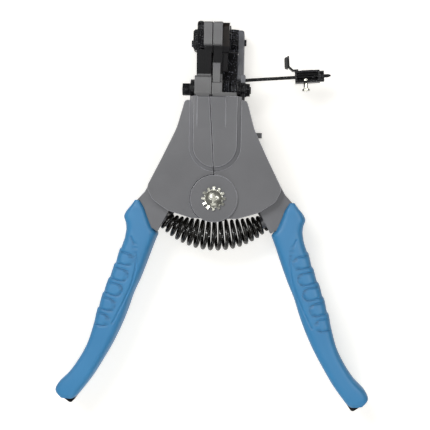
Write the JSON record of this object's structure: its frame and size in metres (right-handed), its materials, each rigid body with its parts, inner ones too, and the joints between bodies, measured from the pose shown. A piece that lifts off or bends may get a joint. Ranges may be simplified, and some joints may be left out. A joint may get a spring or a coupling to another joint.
{
  "type": "wire stripper",
  "caption": "Automatic wire stripper: scissor handles spread cam levers that shut gripping and cutting jaws, then the halves part; with return spring and wire stop.",
  "frame": {"origin": "main pivot axis on the rest plane of the rear faces, at the flush end of the pivot screw", "axes": "+Y to the jaws, +Z out of the front face, +X to the side of the wire stop; the tool lies on its back"},
  "size_m": [0.1396, 0.1721, 0.0273],
  "materials": {
    "shell": "satin paint",
    "lever": "satin paint",
    "handle": "satin paint",
    "grip": "satin moulded",
    "black_steel": "black oxide",
    "blade_steel": "browned",
    "spring_black": "gloss black",
    "bright": "zinc plated",
    "rubber_black": "matte"
  },
  "bodies": {
    "left_half": {"front_plate_left": "shell", "rear_plate_left": "shell", "hinge_bracket_left": "black_steel", "hinge_bolt_left": "black_steel", "hinge_washer_left": "black_steel", "jaw_spring_left": "bright", "return_spring": "spring_black"},
    "right_half": {"front_plate_right": "shell", "rear_plate_right": "shell", "hinge_bracket_right": "black_steel", "hinge_bolt_right": "black_steel", "hinge_nut": "black_steel", "rod_block": "lever", "hinge_washer_right": "black_steel", "hinge_spacer": "black_steel", "jaw_spring_right": "bright", "pivot_screw": "bright", "star_washer": "bright", "pivot_nut": "bright", "pivot_washer": "bright", "stop_rod": "black_steel"},
    "left_handle": {"handle_left": "handle", "grip_left": "grip", "cam_pin_left": "bright"},
    "right_handle": {"handle_right": "handle", "grip_right": "grip", "cam_pin_right": "bright"},
    "front_left_jaw": {"front_jaw_left": "lever", "gripper_front": "black_steel", "gripper_screws_front": "bright"},
    "rear_left_jaw": {"rear_jaw_left": "lever", "gripper_rear": "black_steel", "gripper_screws_rear": "bright"},
    "front_right_jaw": {"front_jaw_right": "lever", "blade_front": "blade_steel", "blade_screws_front": "bright"},
    "rear_right_jaw": {"rear_jaw_right": "lever", "rear_cheek": "lever", "blade_rear": "blade_steel", "blade_screws_rear": "bright"},
    "stop_slide": {"stop_slider": "black_steel", "stop_arm": "black_steel", "stop_pad": "rubber_black"},
    "stop_clamp": {"stop_screw": "bright"}
  },
  "joints": [
    {"name": "halves_spread", "type": "hinge", "parent": "left_half", "child": "right_half", "pos_m": [0, 0, 0.0125], "axis": [0, 0, 1], "range_deg": [-20, 0], "stiffness_Nm_per_rad": 6, "springref_deg": 5.73, "deforming": ["return_spring"]},
    {"name": "left_handle_squeeze", "type": "hinge", "parent": "left_half", "child": "left_handle", "pos_m": [0, 0, 0.0125], "axis": [0, 0, 1], "range_deg": [0, 7], "stiffness_Nm_per_rad": 3, "springref_deg": -5.73},
    {"name": "right_handle_squeeze", "type": "hinge", "parent": "right_half", "child": "right_handle", "pos_m": [0, 0, 0.0125], "axis": [0, 0, 1], "range_deg": [-7, 0]},
    {"name": "front_left_jaw_close", "type": "hinge", "parent": "left_half", "child": "front_left_jaw", "pos_m": [0, 0.0491, 0.0125], "axis": [1, 0, 0], "range_deg": [-6, 0], "deforming": ["jaw_spring_left"]},
    {"name": "rear_left_jaw_close", "type": "hinge", "parent": "left_half", "child": "rear_left_jaw", "pos_m": [0, 0.0491, 0.0125], "axis": [1, 0, 0], "range_deg": [0, 6]},
    {"name": "front_right_jaw_close", "type": "hinge", "parent": "right_half", "child": "front_right_jaw", "pos_m": [0, 0.0491, 0.0125], "axis": [1, 0, 0], "range_deg": [-6, 0], "deforming": ["jaw_spring_right"]},
    {"name": "rear_right_jaw_close", "type": "hinge", "parent": "right_half", "child": "rear_right_jaw", "pos_m": [0, 0.0491, 0.0125], "axis": [1, 0, 0], "range_deg": [0, 6]},
    {"name": "stop_travel", "type": "slide", "parent": "right_half", "child": "stop_slide", "axis": [0.9974, 0.0715, 0], "range_m": [-0.012, 0.0014]},
    {"name": "stop_clamp_turn", "type": "hinge", "parent": "stop_slide", "child": "stop_clamp", "pos_m": [0.03944, 0.05249, 0.0125], "axis": [-0.0715, 0.9974, 0], "continuous": true}
  ],
  "couplings": [
    {"joint": "right_handle_squeeze", "follows": "left_handle_squeeze", "ratio": -1},
    {"joint": "front_left_jaw_close", "follows": "left_handle_squeeze", "ratio": -0.857},
    {"joint": "rear_left_jaw_close", "follows": "left_handle_squeeze", "ratio": 0.857},
    {"joint": "front_right_jaw_close", "follows": "left_handle_squeeze", "ratio": -0.857},
    {"joint": "rear_right_jaw_close", "follows": "left_handle_squeeze", "ratio": 0.857}
  ]
}
